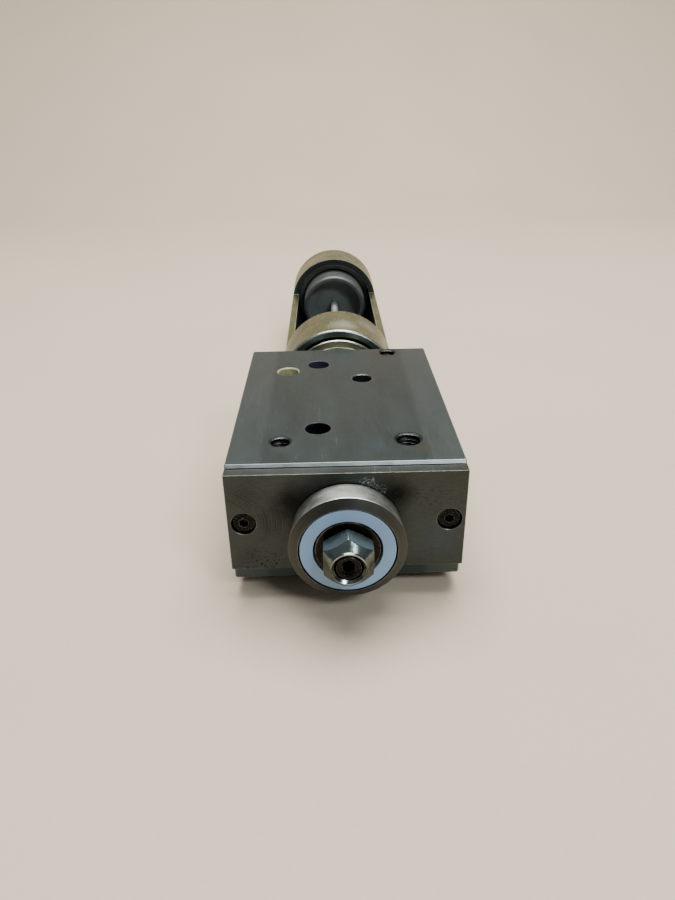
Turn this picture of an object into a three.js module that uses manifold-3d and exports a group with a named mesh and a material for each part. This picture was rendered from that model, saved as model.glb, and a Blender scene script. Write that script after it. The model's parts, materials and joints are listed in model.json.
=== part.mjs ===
// Hydraulic monoblock valve: a tappet-operated spool valve with a windowed guard tube behind it.
// Millimetres, +Z up. The valve's axis runs along Y, from the tappet (front, -Y) to the tube's end.
// Inside the model, y = 0 is the block's front face and z = 0 is the axis of the spool bore.

import * as THREE from 'three';
import { mergeVertices } from 'three/addons/utils/BufferGeometryUtils.js';
import Module from 'manifold-3d';

const wasm = await Module();
wasm.setup();

// ---------- driving dimensions ----------

const gap = 0.3;                  // clearance between pieces that touch or slide
const round = 36;                 // sides on the large turned pieces
const fine = 20;                  // sides on the small turned pieces and holes
const slim = 16;                  // sides on the push rod and the holes round it
const over = 1;                   // how far a cutting shape runs past the face it cuts
const weld = 1e-4;                // corners closer than this are one corner

// block
const blockWidth = 50;
const blockLength = 69;
const blockHeight = 29;
const axisDrop = 14.5;            // axis below the ported top face
const blockChamfer = 0.6;
const spoolBoreR = 6;
const chamberR = 8.9;             // annular chambers around the spool
const chamberWidth = 6;

// ports in the top face: side offset, radius and place
const portA = { x: -5.8, r: 2.95, fromFront: 16.5 };
const portP = { x: 5.7, r: 2.6, fromRear: 22.9 };
const portT = { x: -5.8, r: 2.9, fromRear: 12.4 };

// screw holes in the top face
const holeInset = 11;             // centres in from the block's sides
const frontHolesY = 10.4;         // front pair, back from the front face
const rearHoleSetback = 17;       // rear left hole, forward from the rear face
const cornerHoleSetback = 3.6;    // rear right hole, forward from the rear face
const throughHoleR = 2.75;
const tappedHoleR = 2.15;
const tappedDepth = 12;
const cornerHoleDepth = 8;
const countersinkR = 3.3;

// end plate and its screws
const plateThick = 2.7;
const plateHeight = 23.4;
const plateDrop = 0.6;            // plate's top edge below the block's top face
const plateScrewInset = 3.4;      // screw centres in from the plate's sides
const plateHeadR = 2.3;
const plateHeadHeight = 1.6;
const plateHeadSunk = 0.4;
const plateHeadEdge = 0.2;        // chamfer round the head
const plateShankR = 1.25;
const plateScrewLength = 10;
const plateScrewPoint = 0.4;      // chamfer at the screw's tip
const plateScrewHexFlats = 1.5;
const plateScrewHexDepth = 0.9;

// front collar, which clamps the end plate, and the ring and tappet in it
const collarR = 12.2;             // at the lip, its widest place
const collarFlare = 0.6;          // how much wider the lip is than the root on the end plate
const collarReach = 7.6;          // collar's face in front of the end plate
const collarNose = 1.1;           // lip behind the collar's face
const collarSpigotR = 9.7;
const frontBoreDepth = 12;
const guideRingR = 9.8;
const guideRingLength = 5.5;
const guideRingSunk = 0.2;
const tappetR = 6.8;
const tappetSunk = 0.3;           // tappet's face behind the ring's face
const tappetChamfer = 0.4;
const adjusterR = 2.9;
const adjusterLength = 17;
const adjusterSunk = 0.5;         // screw's end inside the lock nut's face
const adjusterEdge = 0.4;
const adjusterPoint = 0.8;        // chamfer at the screw's inner end
const adjusterHexFlats = 2.5;
const adjusterHexDepth = 3;
const nutFlats = 10;
const nutHeight = 6;
const nutChamfer = 0.5;           // at the nut's back face
const nutLipR = 3.75;             // round lip at the front of the nut's cone
const nutLipHeight = 0.4;
const nutConeSlope = 0.9;         // cone's length for each millimetre of its radius

// seals
const sealR = 0.65;               // radius of the O-rings' section
const sealGrooveWidth = 2.2;
const sealSides = 8;              // sides of the O-rings' section
const sealSqueezeGap = 0.25;      // room left round each O-ring's section
const sealFit = 0.1;              // seal's clearance to the wall that it seals on
const tappetSealY = 2;
const collarSealY = 7.5;
const stemSealInset = 2;          // stem seal's groove behind the neck's stop pocket
const neckSealInset = 2.6;        // neck seal's groove behind the spigot's face

// spool
const travel = 4;
const landOverlap = 1;            // land past each side of the chamber that it closes
const waistR = 3.6;
const stemR = 4;
const balanceGrooves = 3;
const balanceGrooveWidth = 0.7;
const balanceGrooveDepth = 0.5;
const washerR = 6.9;
const washerThick = 1.2;
const clipThick = 1;
const clipR = 5.4;
const clipGrooveDepth = 0.8;
const clipMouth = 2.4;            // opening of the stem's retaining clip

// rear neck
const neckSpigotR = 11.7;
const rearBoreDepth = 8;
const neckLength = 17;            // neck behind the block
const neckChamfer = 1;
const stopPocketR = 7.6;
const stemGuideLength = 7;
const retainerR = 8.7;
const retainerThick = 2;
const stemReach = 13;             // stem's end behind the block

// guard tube
const tubeR = 18;
const tubeWall = 2.5;
const tubeSetback = 7;            // tube's front end behind the block
const tubeLength = 116;
const tubeChamfer = 0.8;
const windowStart = 20;           // window's front edge behind the tube's front end
const windowLength = 76;
const windowFloor = 3.4;          // height above the axis that the window is cut down to

// push rod, plunger and its guide
const rodR = 1.4;
const rodStemGrip = 6;            // rod's grip in the stem
const rodPlungerGrip = 3;
const rodNutFlats = 5.5;
const rodNutHeight = 2.4;
const plungerR = 13;
const plungerSetback = 86.5;      // plunger's face behind the tube's front end
const plungerLength = 18.5;
const plungerChamfer = 0.7;
const cupWall = 2;                // left round the recess in the plunger's face
const cupDepth = 6;
const plungerWeb = 1.5;           // metal between the rod's hole and the spring's pocket
const springPocketR = 8.3;
const springWireR = 0.7;
const springTurns = 4;
const springWireSides = 6;
const springStepsPerTurn = 12;
const guideLength = 13.5;
const guideFloor = 2.5;
const guideEdge = 0.5;
const ventR = 2;
const endClipWidth = 2.4;
const endClipThick = 1;
const endClipGrooveDepth = 0.8;
const endClipMouth = 9;
const endLip = 2;                 // tube wall behind the clip's groove

// ---------- places worked out from them ----------

const top = axisDrop;
const bottom = axisDrop - blockHeight;
const portAY = portA.fromFront;
const portPY = blockLength - portP.fromRear;
const portTY = blockLength - portT.fromRear;
const holeX = blockWidth / 2 - holeInset;
const plateFace = -gap - plateThick;
const plateTop = top - plateDrop;
const plateMiddle = plateTop - plateHeight / 2;
const plateScrewX = blockWidth / 2 - plateScrewInset;
const plateScrewSeat = plateFace + plateHeadSunk + plateHeadHeight;
const collarRootR = collarR - collarFlare;
const collarFace = plateFace - collarReach;
const collarLip = collarFace + collarNose;
const ringFace = collarFace + guideRingSunk;
const tappetFace = ringFace + tappetSunk;
const tappetEnd = frontBoreDepth - travel - gap;
const nutBack = tappetFace - gap;
const nutFace = nutBack - nutHeight;
const adjusterFace = nutFace + adjusterSunk;
const spoolFace = tappetEnd + gap;
const rearBoreFloor = blockLength - rearBoreDepth;
const washerY = rearBoreFloor + gap;
const clipY = washerY + washerThick + gap;
const neckFace = rearBoreFloor + gap;
const stopPocketEnd = clipY + clipThick + travel + 2 * gap;
const neckBack = blockLength + neckLength;
const stemGuideEnd = stopPocketEnd + stemGuideLength;
const stemEnd = blockLength + stemReach;
const tubeFront = blockLength + tubeSetback;
const tubeEnd = tubeFront + tubeLength;
const tubeBoreR = tubeR - tubeWall;
const windowFront = tubeFront + windowStart;
const plungerFace = tubeFront + plungerSetback;
const cupR = plungerR - cupWall;
const cupFloor = plungerFace + cupDepth;
const rodStart = stemEnd - rodStemGrip;
const rodHoleEnd = cupFloor + rodPlungerGrip;
const springPocketFloor = rodHoleEnd + plungerWeb;
const endClipY = tubeEnd - endLip - endClipThick - gap;
const guideEnd = endClipY - gap;
const guideFace = guideEnd - guideLength;

// ---------- solids ----------

// closed geometry to a solid: only positions, shared vertices merged, empty triangles dropped
function toSolid(geometry) {
  const bare = geometry.clone();
  for (const name of Object.keys(bare.attributes)) {
    if (name !== 'position') bare.deleteAttribute(name);
  }
  const merged = mergeVertices(bare, weld);
  const corners = merged.index.array;
  const kept = [];
  for (let i = 0; i < corners.length; i += 3) {
    const [a, b, c] = [corners[i], corners[i + 1], corners[i + 2]];
    if (a !== b && b !== c && c !== a) kept.push(a, b, c);
  }
  return new wasm.Manifold(new wasm.Mesh({
    numProp: 3,
    vertProperties: Float32Array.from(merged.attributes.position.array),
    triVerts: Uint32Array.from(kept),
  }));
}

function toGeometry(solid) {
  const mesh = solid.getMesh();
  const geometry = new THREE.BufferGeometry();
  geometry.setAttribute('position', new THREE.BufferAttribute(mesh.vertProperties, 3));
  geometry.setIndex(new THREE.BufferAttribute(mesh.triVerts, 1));
  geometry.computeVertexNormals();
  return geometry;
}

const cut = (solid, ...tools) => tools.reduce((left, tool) => left.subtract(tool), solid);

// solid of revolution about the valve's axis from a closed outline of [radius, y] points,
// listed anticlockwise in the (radius, y) plane
function turned(outline, sides = fine) {
  const points = outline.map(([r, y]) => new THREE.Vector2(r, y));
  return toSolid(new THREE.LatheGeometry([...points, points[0].clone()], sides));
}

const disc = (r, from, to, sides = fine) => turned([[0, from], [r, from], [r, to], [0, to]], sides);

const washer = (inner, outer, from, to, sides = fine) =>
  turned([[inner, from], [outer, from], [outer, to], [inner, to]], sides);

// O-ring of section radius sealR whose section's centre runs at radius r
function oRing(r, y) {
  const section = [];
  for (let i = 0; i < sealSides; i++) {
    const angle = (i / sealSides) * 2 * Math.PI;
    section.push([r + sealR * Math.cos(angle), y + sealR * Math.sin(angle)]);
  }
  return turned(section, fine);
}

// hexagonal prism along the axis, two corners up and down
function hexagon(flats, from, to) {
  const prism = new THREE.CylinderGeometry(flats / Math.sqrt(3), flats / Math.sqrt(3), to - from, 6);
  prism.translate(0, (from + to) / 2, 0);
  return toSolid(prism);
}

// vertical drill from a floor height up through the top face
function drill(x, y, r, floor, ceiling = top + over) {
  const hole = new THREE.CylinderGeometry(r, r, ceiling - floor, fine);
  hole.rotateX(Math.PI / 2);
  hole.translate(x, y, (floor + ceiling) / 2);
  return toSolid(hole);
}

function box(x0, x1, y0, y1, z0, z1) {
  const block = new THREE.BoxGeometry(x1 - x0, y1 - y0, z1 - z0);
  block.translate((x0 + x1) / 2, (y0 + y1) / 2, (z0 + z1) / 2);
  return toSolid(block);
}

const moved = (solid, x, z) => solid.translate([x, 0, z]);

// ---------- the block ----------

function valveBody() {
  const c = blockChamfer;
  const outline = new THREE.Shape();
  const [w, l] = [blockWidth / 2 - c, blockLength / 2 - c];
  outline.moveTo(-w, -l).lineTo(w, -l).lineTo(w, l).lineTo(-w, l).closePath();
  const blank = new THREE.ExtrudeGeometry(outline, {
    depth: blockHeight - 2 * c, bevelEnabled: true, bevelSegments: 1, bevelSize: c, bevelThickness: c,
  });
  blank.translate(0, blockLength / 2, bottom + c);

  const chamber = (y) => disc(chamberR, y - chamberWidth / 2, y + chamberWidth / 2);
  const port = (spec, y) => drill(spec.x, y, spec.r, spoolBoreR - over);
  const plateHoleEnd = plateScrewSeat + plateScrewLength + gap;
  const plateHole = (side) =>
    moved(disc(plateShankR + gap, -over, plateHoleEnd), side * plateScrewX, plateMiddle);
  const sinkDepth = countersinkR - throughHoleR;
  const sink = new THREE.CylinderGeometry(countersinkR + over, throughHoleR, sinkDepth + over, fine);
  sink.rotateX(Math.PI / 2);
  sink.translate(holeX, frontHolesY, top + (over - sinkDepth) / 2);

  return cut(
    toSolid(blank),
    disc(spoolBoreR, -over, blockLength + over),
    disc(collarSpigotR + gap, -over, frontBoreDepth),
    disc(neckSpigotR + gap, rearBoreFloor, blockLength + over, round),
    chamber(portAY), chamber(portPY), chamber(portTY),
    port(portA, portAY), port(portP, portPY), port(portT, portTY),
    drill(-holeX, frontHolesY, tappedHoleR, top - tappedDepth),
    drill(holeX, frontHolesY, throughHoleR, bottom - over),
    toSolid(sink),
    drill(-holeX, blockLength - rearHoleSetback, throughHoleR, bottom - over),
    drill(holeX, blockLength - cornerHoleSetback, tappedHoleR, top - cornerHoleDepth),
    plateHole(-1), plateHole(1),
  );
}

// ---------- the front: plate, collar, ring, tappet ----------

function endPlate() {
  const screwHole = (side) => moved(
    disc(plateHeadR + gap, plateFace - over, plateScrewSeat + gap)
      .add(disc(plateShankR + gap, plateFace - over, over)),
    side * plateScrewX, plateMiddle);
  return cut(
    box(-blockWidth / 2, blockWidth / 2, plateFace, -gap, plateTop - plateHeight, plateTop),
    disc(collarSpigotR + gap, plateFace - over, over, round),
    screwHole(-1), screwHole(1),
  );
}

function endPlateScrew(side) {
  const face = plateFace + plateHeadSunk;
  const seat = plateScrewSeat;
  const tip = seat + plateScrewLength;
  const screw = turned([
    [0, face], [plateHeadR - plateHeadEdge, face], [plateHeadR, face + plateHeadEdge], [plateHeadR, seat],
    [plateShankR, seat], [plateShankR, tip - plateScrewPoint], [plateShankR - plateScrewPoint, tip], [0, tip],
  ]);
  const socket = hexagon(plateScrewHexFlats, face - over, face + plateScrewHexDepth);
  return moved(cut(screw, socket), side * plateScrewX, plateMiddle);
}

function frontCollar() {
  const shoulder = plateFace - gap;
  const back = frontBoreDepth - gap;
  const bore = tappetR + gap;
  const pocket = guideRingR + gap;
  const pocketEnd = ringFace + guideRingLength + gap;
  const blank = turned([
    [pocket, collarFace], [collarR, collarLip], [collarRootR, shoulder], [collarSpigotR, shoulder],
    [collarSpigotR, back], [bore, back], [bore, pocketEnd], [pocket, pocketEnd],
  ], round);
  const grooveR = tappetR + 2 * (sealR + sealSqueezeGap) + sealFit;
  const innerGroove = disc(grooveR, tappetSealY, tappetSealY + sealGrooveWidth);
  const outerGroove = washer(collarSpigotR - 2 * sealR - sealSqueezeGap, collarR, collarSealY,
    collarSealY + sealGrooveWidth);
  return cut(blank, innerGroove, outerGroove);
}

const collarSeal = () => oRing(collarSpigotR + gap / 2 - sealR - sealFit, collarSealY + sealGrooveWidth / 2);

const tappetSeal = () => oRing(tappetR + gap + sealR, tappetSealY + sealGrooveWidth / 2);

const guideRing = () => washer(tappetR + gap, guideRingR, ringFace, ringFace + guideRingLength, round);

function tappet() {
  const screwEnd = adjusterFace + adjusterLength;
  const blank = turned([
    [0, tappetFace], [tappetR - tappetChamfer, tappetFace], [tappetR, tappetFace + tappetChamfer],
    [tappetR, tappetEnd - tappetChamfer], [tappetR - tappetChamfer, tappetEnd], [0, tappetEnd],
  ], round);
  return cut(blank, disc(adjusterR + gap, tappetFace - over, screwEnd + over));
}

function lockNut() {
  const corner = nutFlats / Math.sqrt(3);
  const wide = corner + gap;
  const coneFront = nutFace + nutLipHeight;
  const crown = turned([
    [0, nutFace], [nutLipR, nutFace], [nutLipR, coneFront],
    [wide, coneFront + (wide - nutLipR) * nutConeSlope], [wide, nutBack - nutChamfer],
    [corner - 2 * nutChamfer, nutBack], [0, nutBack],
  ], round);
  const bore = disc(adjusterR + gap, nutFace - over, nutBack + over);
  return cut(hexagon(nutFlats, nutFace, nutBack).intersect(crown), bore);
}

function adjustingScrew() {
  const end = adjusterFace + adjusterLength;
  const blank = turned([
    [0, adjusterFace], [adjusterR - adjusterEdge, adjusterFace],
    [adjusterR, adjusterFace + adjusterEdge], [adjusterR, end - adjusterPoint],
    [adjusterR - adjusterPoint, end], [0, end],
  ]);
  return cut(blank, hexagon(adjusterHexFlats, adjusterFace - over, adjusterFace + adjusterHexDepth));
}

// ---------- the spool and its end stop ----------

function spool() {
  const landR = spoolBoreR - gap;
  const frontLandEnd = portAY - chamberWidth / 2 - landOverlap;
  const landStart = portPY - chamberWidth / 2 - landOverlap;
  const landEnd = portPY + chamberWidth / 2 + landOverlap;
  const blank = turned([
    [0, spoolFace], [landR, spoolFace], [landR, frontLandEnd], [waistR, frontLandEnd],
    [waistR, landStart], [landR, landStart], [landR, landEnd], [stemR, landEnd],
    [stemR, stemEnd], [0, stemEnd],
  ]);
  const grooves = [];
  const pitch = (landEnd - landStart) / (balanceGrooves + 1);
  for (let i = 1; i <= balanceGrooves; i++) {
    const y = landStart + i * pitch - balanceGrooveWidth / 2;
    grooves.push(washer(landR - balanceGrooveDepth, landR + over, y, y + balanceGrooveWidth));
  }
  const clipGroove = washer(stemR - clipGrooveDepth, stemR + over, clipY - gap, clipY + clipThick + gap);
  const rodHole = disc(rodR + gap, rodStart - gap, stemEnd + over);
  return cut(blank, ...grooves, clipGroove, rodHole);
}

const stopWasher = () => washer(stemR + gap, washerR, washerY, washerY + washerThick);

function stopClip() {
  const ring = washer(stemR - clipGrooveDepth + gap, clipR, clipY, clipY + clipThick);
  const back = clipY + clipThick;
  return cut(ring, box(-clipMouth / 2, clipMouth / 2, clipY - over, back + over, -clipR - over, 0));
}

// ---------- the rear neck ----------

function rearNeck() {
  const bodyR = tubeBoreR - gap;
  const pocketR = retainerR + gap;
  const blank = turned([
    [stopPocketR, neckFace], [neckSpigotR, neckFace], [neckSpigotR, blockLength + gap],
    [bodyR, blockLength + gap], [bodyR, neckBack - neckChamfer], [bodyR - neckChamfer, neckBack],
    [pocketR, neckBack], [pocketR, stemGuideEnd], [stemR + gap, stemGuideEnd],
    [stemR + gap, stopPocketEnd], [stopPocketR, stopPocketEnd],
  ], round);
  const innerY = stopPocketEnd + stemSealInset;
  const outerY = neckFace + neckSealInset;
  const innerGroove = disc(stemR + 2 * (sealR + sealSqueezeGap) + sealFit, innerY, innerY + sealGrooveWidth);
  const outerGroove = washer(neckSpigotR - 2 * sealR - sealSqueezeGap, neckSpigotR + over, outerY,
    outerY + sealGrooveWidth, round);
  return cut(blank, innerGroove, outerGroove);
}

const neckSeal = () =>
  oRing(neckSpigotR + gap / 2 - sealR - sealFit, neckFace + neckSealInset + sealGrooveWidth / 2);

const stemSeal = () => oRing(stemR + gap + sealR, stopPocketEnd + stemSealInset + sealGrooveWidth / 2);

const sealRetainer = () =>
  washer(stemR + gap, retainerR, stemGuideEnd + gap, stemGuideEnd + gap + retainerThick);

// ---------- the guard tube and what moves in it ----------

function rearHousing() {
  const c = tubeChamfer;
  const grooveR = tubeBoreR + endClipGrooveDepth;
  const grooveFrom = endClipY - gap;
  const grooveTo = endClipY + endClipThick + gap;
  const blank = turned([
    [tubeBoreR, tubeFront], [tubeR - c, tubeFront], [tubeR, tubeFront + c], [tubeR, tubeEnd - c],
    [tubeR - c, tubeEnd], [tubeBoreR, tubeEnd], [tubeBoreR, grooveTo], [grooveR, grooveTo],
    [grooveR, grooveFrom], [tubeBoreR, grooveFrom],
  ], round);
  const windowEnd = windowFront + windowLength;
  return cut(blank, box(-tubeR - over, tubeR + over, windowFront, windowEnd, windowFloor, tubeR + over));
}

const pushRod = () => disc(rodR, rodStart, rodHoleEnd, slim);

function rodNut() {
  const from = stemEnd + gap;
  const to = from + rodNutHeight;
  return cut(hexagon(rodNutFlats, from, to), disc(rodR + gap, from - over, to + over, slim));
}

function plunger() {
  const c = plungerChamfer;
  const end = plungerFace + plungerLength;
  const blank = turned([
    [0, cupFloor], [cupR, cupFloor], [cupR, plungerFace], [plungerR - c, plungerFace],
    [plungerR, plungerFace + c], [plungerR, end], [springPocketR, end],
    [springPocketR, springPocketFloor], [0, springPocketFloor],
  ], round);
  return cut(blank, disc(rodR + gap, cupFloor - over, rodHoleEnd + gap, slim));
}

// helical spring between the plunger's pocket and the guide's floor
class SpringPath extends THREE.Curve {
  constructor(r, from, to, turns) {
    super();
    Object.assign(this, { r, from, to, turns });
  }

  getPoint(t, target = new THREE.Vector3()) {
    const angle = 2 * Math.PI * this.turns * t;
    const y = this.from + (this.to - this.from) * t;
    return target.set(this.r * Math.cos(angle), y, this.r * Math.sin(angle));
  }
}

function returnSpring() {
  const from = springPocketFloor + gap + springWireR;
  const to = guideEnd - guideFloor - gap - springWireR;
  const path = new SpringPath(springPocketR - gap - springWireR, from, to, springTurns);
  const wire = new THREE.Shape();
  for (let i = 0; i < springWireSides; i++) {
    const angle = (i / springWireSides) * 2 * Math.PI;
    const corner = [springWireR * Math.cos(angle), springWireR * Math.sin(angle)];
    if (i === 0) {
      wire.moveTo(...corner);
    } else {
      wire.lineTo(...corner);
    }
  }
  wire.closePath();
  const steps = Math.round(springTurns * springStepsPerTurn);
  return toSolid(new THREE.ExtrudeGeometry(wire, { steps, bevelEnabled: false, extrudePath: path }));
}

function endGuide() {
  const e = guideEdge;
  const outer = tubeBoreR - gap;
  const bore = plungerR + gap;
  const floor = guideEnd - guideFloor;
  return turned([
    [ventR, floor], [bore, floor], [bore, guideFace + e], [bore + e, guideFace],
    [outer - e, guideFace], [outer, guideFace + e], [outer, guideEnd], [ventR, guideEnd],
  ], round);
}

function endClip() {
  const outer = tubeBoreR + endClipGrooveDepth - gap;
  const back = endClipY + endClipThick;
  const ring = washer(outer - endClipWidth, outer, endClipY, back, round);
  return cut(ring, box(-endClipMouth / 2, endClipMouth / 2, endClipY - over, back + over, -outer - over, 0));
}

// ---------- assembly ----------

const finishes = {
  groundSteel: { color: 0x5a5f5c, metalness: 0.9, roughness: 0.45 },
  darkSteel: { color: 0x46423a, metalness: 0.9, roughness: 0.5 },
  turnedSteel: { color: 0x7d776b, metalness: 0.9, roughness: 0.35 },
  blackSteel: { color: 0x1c1d1c, metalness: 0.6, roughness: 0.5 },
  zinc: { color: 0x8fa6a0, metalness: 1, roughness: 0.3 },
  yellowZinc: { color: 0x8c8769, metalness: 0.9, roughness: 0.42 },
  brightSteel: { color: 0xb9bcba, metalness: 1, roughness: 0.2 },
  paleNylon: { color: 0x879bb4, metalness: 0, roughness: 0.55 },
  blackRubber: { color: 0x151515, metalness: 0, roughness: 0.8 },
};

function piece(name, solid, finish) {
  const mesh = new THREE.Mesh(toGeometry(solid), new THREE.MeshStandardMaterial(finishes[finish]));
  mesh.name = name;
  return mesh;
}

function assembly(...pieces) {
  const group = new THREE.Group();
  group.add(...pieces);
  return group;
}

const fixedPieces = assembly(
  piece('valve_body', valveBody(), 'groundSteel'),
  piece('end_plate', endPlate(), 'darkSteel'),
  piece('end_plate_screw_left', endPlateScrew(-1), 'blackSteel'),
  piece('end_plate_screw_right', endPlateScrew(1), 'blackSteel'),
  piece('front_collar', frontCollar(), 'turnedSteel'),
  piece('collar_oring', collarSeal(), 'blackRubber'),
  piece('tappet_seal', tappetSeal(), 'blackRubber'),
  piece('guide_ring', guideRing(), 'paleNylon'),
  piece('rear_neck', rearNeck(), 'yellowZinc'),
  piece('neck_oring', neckSeal(), 'blackRubber'),
  piece('stem_seal', stemSeal(), 'blackRubber'),
  piece('seal_retainer', sealRetainer(), 'turnedSteel'),
  piece('rear_housing', rearHousing(), 'yellowZinc'),
  piece('end_guide', endGuide(), 'blackSteel'),
  piece('end_circlip', endClip(), 'blackSteel'),
  piece('return_spring', returnSpring(), 'brightSteel'),
);

const slidingPieces = assembly(
  piece('tappet_piston', tappet(), 'turnedSteel'),
  piece('lock_nut', lockNut(), 'zinc'),
  piece('adjusting_screw', adjustingScrew(), 'blackSteel'),
  piece('spool', spool(), 'brightSteel'),
  piece('stop_washer', stopWasher(), 'turnedSteel'),
  piece('stop_circlip', stopClip(), 'blackSteel'),
  piece('push_rod', pushRod(), 'brightSteel'),
  piece('rod_jam_nut', rodNut(), 'zinc'),
  piece('plunger', plunger(), 'blackSteel'),
);

// the origin is at the middle of the footprint, at the height of the lowest point
const valve = assembly(fixedPieces, slidingPieces);
valve.position.set(0, -(nutFace + tubeEnd) / 2, Math.max(tubeR, -bottom));

export default valve;
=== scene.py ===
import json
import math

import bmesh
import bpy
from mathutils import Matrix, Vector


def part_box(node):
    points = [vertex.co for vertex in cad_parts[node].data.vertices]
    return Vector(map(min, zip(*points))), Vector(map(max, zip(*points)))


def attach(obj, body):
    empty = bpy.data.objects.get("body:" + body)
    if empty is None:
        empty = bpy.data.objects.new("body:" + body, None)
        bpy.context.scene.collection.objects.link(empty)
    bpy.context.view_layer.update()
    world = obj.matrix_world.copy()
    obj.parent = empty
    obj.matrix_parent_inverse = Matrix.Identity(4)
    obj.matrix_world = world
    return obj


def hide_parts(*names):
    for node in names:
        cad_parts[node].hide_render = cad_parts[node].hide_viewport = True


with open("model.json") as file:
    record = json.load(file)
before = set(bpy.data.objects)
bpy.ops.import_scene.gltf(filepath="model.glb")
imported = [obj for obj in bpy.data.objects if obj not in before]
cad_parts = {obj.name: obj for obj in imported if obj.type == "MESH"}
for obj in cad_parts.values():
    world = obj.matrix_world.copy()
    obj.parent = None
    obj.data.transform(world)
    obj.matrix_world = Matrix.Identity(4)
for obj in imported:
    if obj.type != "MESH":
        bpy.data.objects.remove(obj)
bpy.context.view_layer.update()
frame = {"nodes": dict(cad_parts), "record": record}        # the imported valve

mm = 0.001
gap = 0.3       # keeps the faces of neighbouring pieces apart

# everything is placed in the valve's own millimetres: x to the right, y back from the
# block's front face, z up from the spool's axis
def boxOf(node):
    return [Vector(corner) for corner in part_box(node)]


rodLow, rodHigh = boxOf("push_rod")
valveOrigin = Vector(((rodLow.x + rodHigh.x) / 2, boxOf("valve_body")[0].y, (rodLow.z + rodHigh.z) / 2))


def at(x, y, z):
    return valveOrigin + Vector((x, y, z)) * mm


def span(node):
    # front, back and outer radius of a turned node
    low, high = boxOf(node)
    return (low.y - valveOrigin.y) / mm, (high.y - valveOrigin.y) / mm, (high.z - low.z) / 2 / mm


def valveBox(node):
    low, high = (corner - valveOrigin for corner in boxOf(node))
    return low / mm, high / mm


def middleOf(face):
    return (face.calc_center_median() - valveOrigin) / mm


def fromAxis(point):
    return math.hypot(point.x, point.z)


def finishWhere(bm, index, test):
    # gives the faces that pass a test the finish of that number in the piece's list
    for face in bm.faces:
        if test(face.normal, middleOf(face)):
            face.material_index = index


def ringAt(y):
    # picks the edges that lie at one distance along the axis
    return lambda edge: all(abs((v.co - valveOrigin).y / mm - y) < 0.01 for v in edge.verts)


def plateScrewSpot():
    low, high = valveBox("end_plate_screw_left")
    return abs((low.x + high.x) / 2), (low.z + high.z) / 2


# ---- mesh helpers

def soften(bm, width, segments=2, sharp=25, keep=None):
    edges = [e for e in bm.edges if e.is_manifold and e.calc_face_angle(0) > math.radians(sharp)]
    if keep:
        edges = [e for e in edges if keep(e)]
    bmesh.ops.bevel(bm, geom=edges, offset=width * mm, offset_type="OFFSET", segments=segments,
                    profile=0.5, affect="EDGES", clamp_overlap=True, material=-1)
    return bm


def turn(outline, steps=128, edge=0, spot=(0, 0, 0), along=(0, 1, 0)):
    # spins an outline of (radius, distance along) points and rounds its corners
    bm = bmesh.new()
    foot = at(*spot)
    run = Vector(along)
    verts = [bm.verts.new(foot + Vector((r, 0, 0)) * mm + run * d * mm) for r, d in outline]
    pairs = list(zip(verts, verts[1:]))
    if outline[0][0] > 0:
        pairs.append((verts[-1], verts[0]))
    edges = [bm.edges.new(pair) for pair in pairs]
    bmesh.ops.spin(bm, geom=verts + edges, cent=foot, axis=run, angle=2 * math.pi, steps=steps,
                   use_merge=True)
    bmesh.ops.remove_doubles(bm, verts=bm.verts[:], dist=1e-7)
    bmesh.ops.recalc_face_normals(bm, faces=bm.faces[:])
    if edge:
        soften(bm, edge)
    return bm


def roundBar(r, y0, y1, steps=128, edge=0, spot=(0, 0, 0)):
    return turn([(0, y0), (r, y0), (r, y1), (0, y1)], steps=steps, edge=edge, spot=spot)


def threadTurns(start, end, pitch, profile):
    # repeats a profile of (radius, distance along) points once every pitch
    points = []
    while start < end:
        points += [(r, start + d) for r, d in profile]
        start += pitch
    return points


def prism(flats, y0, y1, spot=(0, 0), turned=0):
    # hexagon bar along the axis, a corner up when it isn't turned
    bm = bmesh.new()
    bmesh.ops.create_cone(bm, cap_ends=True, segments=6, radius1=flats / math.sqrt(3) * mm,
                          radius2=flats / math.sqrt(3) * mm, depth=(y1 - y0) * mm)
    place = Matrix.Translation(at(spot[0], (y0 + y1) / 2, spot[1]))
    place @= Matrix.Rotation(math.radians(turned), 4, "Y") @ Matrix.Rotation(math.radians(90), 4, "X")
    bmesh.ops.transform(bm, matrix=place, verts=bm.verts[:])
    return bm


def slab(low, high):
    bm = bmesh.new()
    bmesh.ops.create_cube(bm, size=1)
    size = Matrix.Diagonal(((Vector(high) - Vector(low)) * mm).to_4d())
    size[3][3] = 1
    place = Matrix.Translation(at(*((Vector(high) + Vector(low)) / 2)))
    bmesh.ops.transform(bm, matrix=place @ size, verts=bm.verts[:])
    return bm


def asObject(name, bm):
    mesh = bpy.data.meshes.new(name)
    bm.to_mesh(mesh)
    bm.free()
    made = bpy.data.objects.new(name, mesh)
    bpy.context.scene.collection.objects.link(made)
    return made


def carve(bm, cutters, operation="DIFFERENCE"):
    body = asObject("carved", bm)
    tools = [asObject("cutter", cutter) for cutter in cutters]
    for tool in tools:
        cut = body.modifiers.new("cut", "BOOLEAN")
        cut.operation = operation
        cut.solver = "EXACT"
        cut.object = tool
    bpy.context.view_layer.update()
    result = bmesh.new()
    result.from_object(body, bpy.context.evaluated_depsgraph_get())
    for used in [body] + tools:
        mesh = used.data
        bpy.data.objects.remove(used)
        bpy.data.meshes.remove(mesh)
    bmesh.ops.remove_doubles(result, verts=result.verts[:], dist=2e-7)
    bmesh.ops.dissolve_degenerate(result, dist=1e-7, edges=result.edges[:])
    return result


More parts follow.
